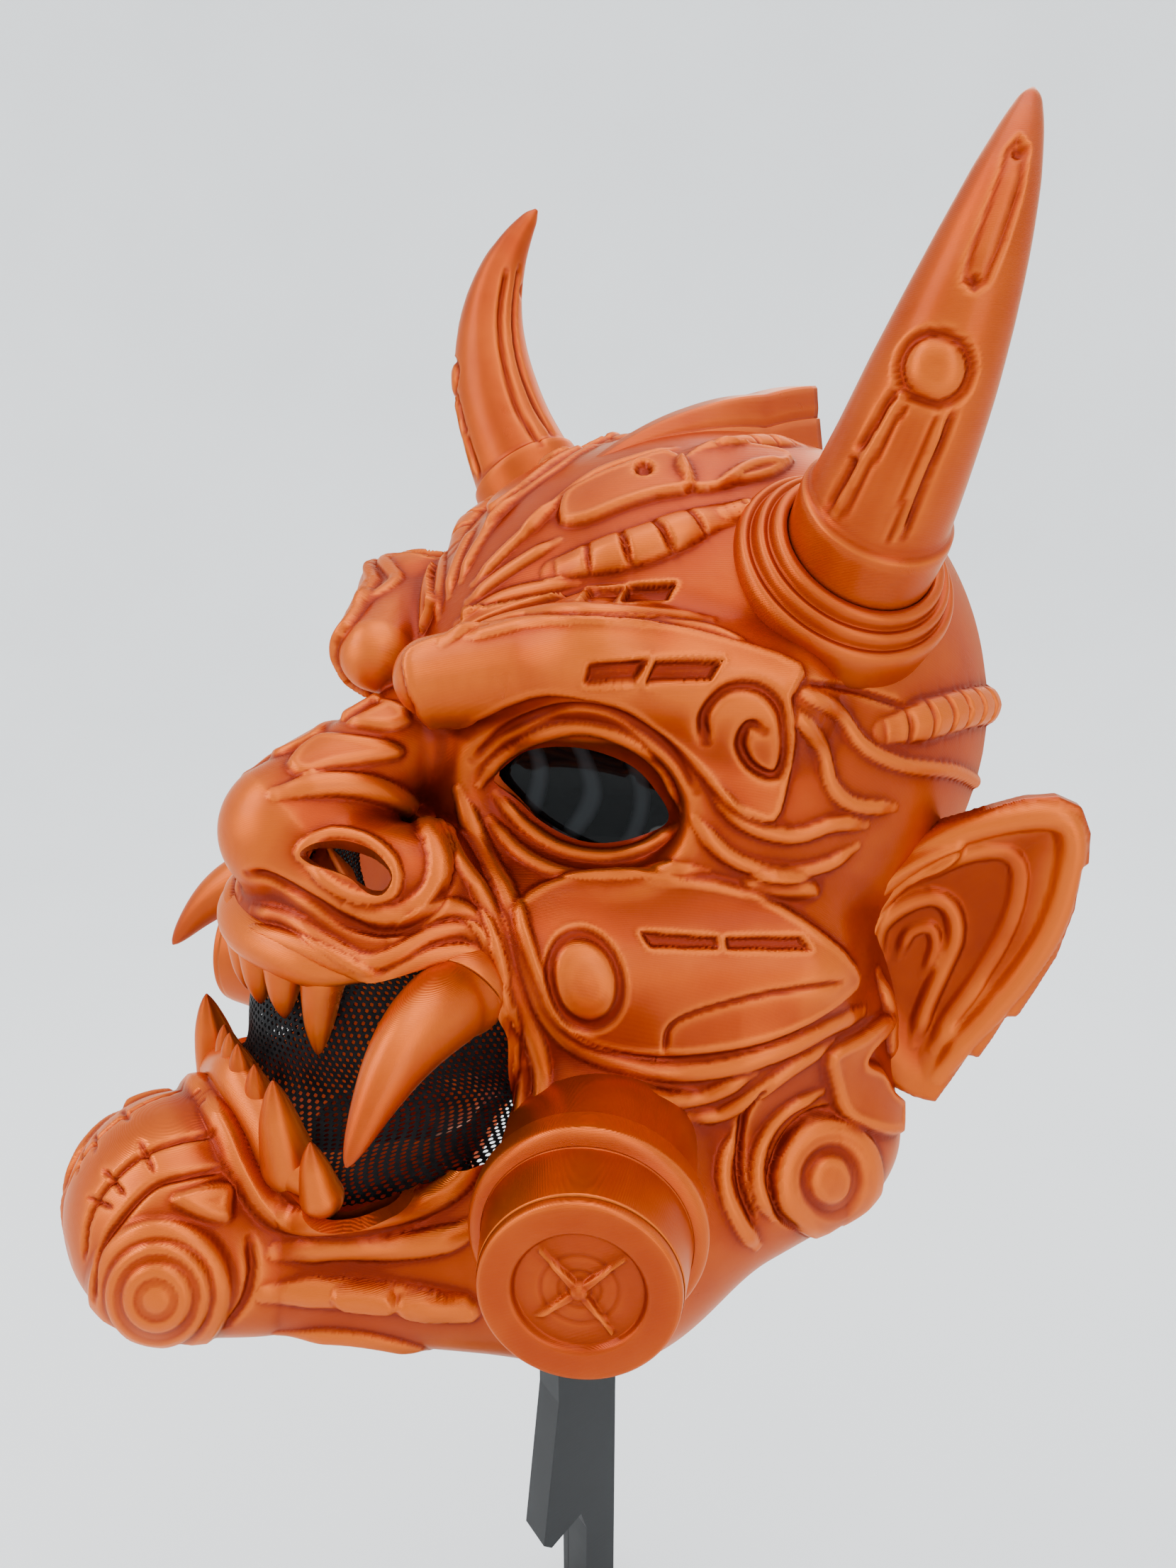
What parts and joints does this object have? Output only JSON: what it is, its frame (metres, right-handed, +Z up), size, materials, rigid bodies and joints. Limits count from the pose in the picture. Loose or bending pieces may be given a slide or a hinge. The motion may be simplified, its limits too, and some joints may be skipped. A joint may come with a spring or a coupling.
{
  "type": "oni mask on a display stand",
  "caption": "Hollow full-face oni mask with curved horns, ears, tusks, toothed open mouth with mesh, dark eye lenses and round cheek filters, on a plate stand",
  "frame": {"origin": "middle of the box round the whole thing, at the foot of the stand", "axes": "+Z up from the foot to the horn tips, the face looks along -Y, +X is the mask's own left"},
  "size_m": [0.2882, 0.298, 0.7404],
  "materials": {
    "silk_orange_print": "satin silk orange printed plastic with fine layer lines",
    "tooth_orange_print": "deeper silk orange printed plastic",
    "black_mesh": "black perforated sheet",
    "dark_lens": "dark glossy lens",
    "grey_print": "dark grey printed plastic with fine layer lines"
  },
  "bodies": {
    "root": {"face_shell": "silk_orange_print", "crest_fin": "silk_orange_print", "horn_left": "silk_orange_print", "horn_right": "silk_orange_print", "horn_socket_left": "silk_orange_print", "horn_socket_right": "silk_orange_print", "ear_left": "silk_orange_print", "ear_right": "silk_orange_print", "filter_left": "silk_orange_print", "filter_right": "silk_orange_print", "tusk_left": "silk_orange_print", "tusk_right": "silk_orange_print", "upper_teeth": "tooth_orange_print", "lower_teeth": "tooth_orange_print", "mouth_mesh": "black_mesh", "eye_lens_left": "dark_lens", "eye_lens_right": "dark_lens", "post_plate": "grey_print", "post_side_plate": "grey_print", "head_rest": "grey_print", "base_plate": "grey_print"}
  },
  "joints": []
}
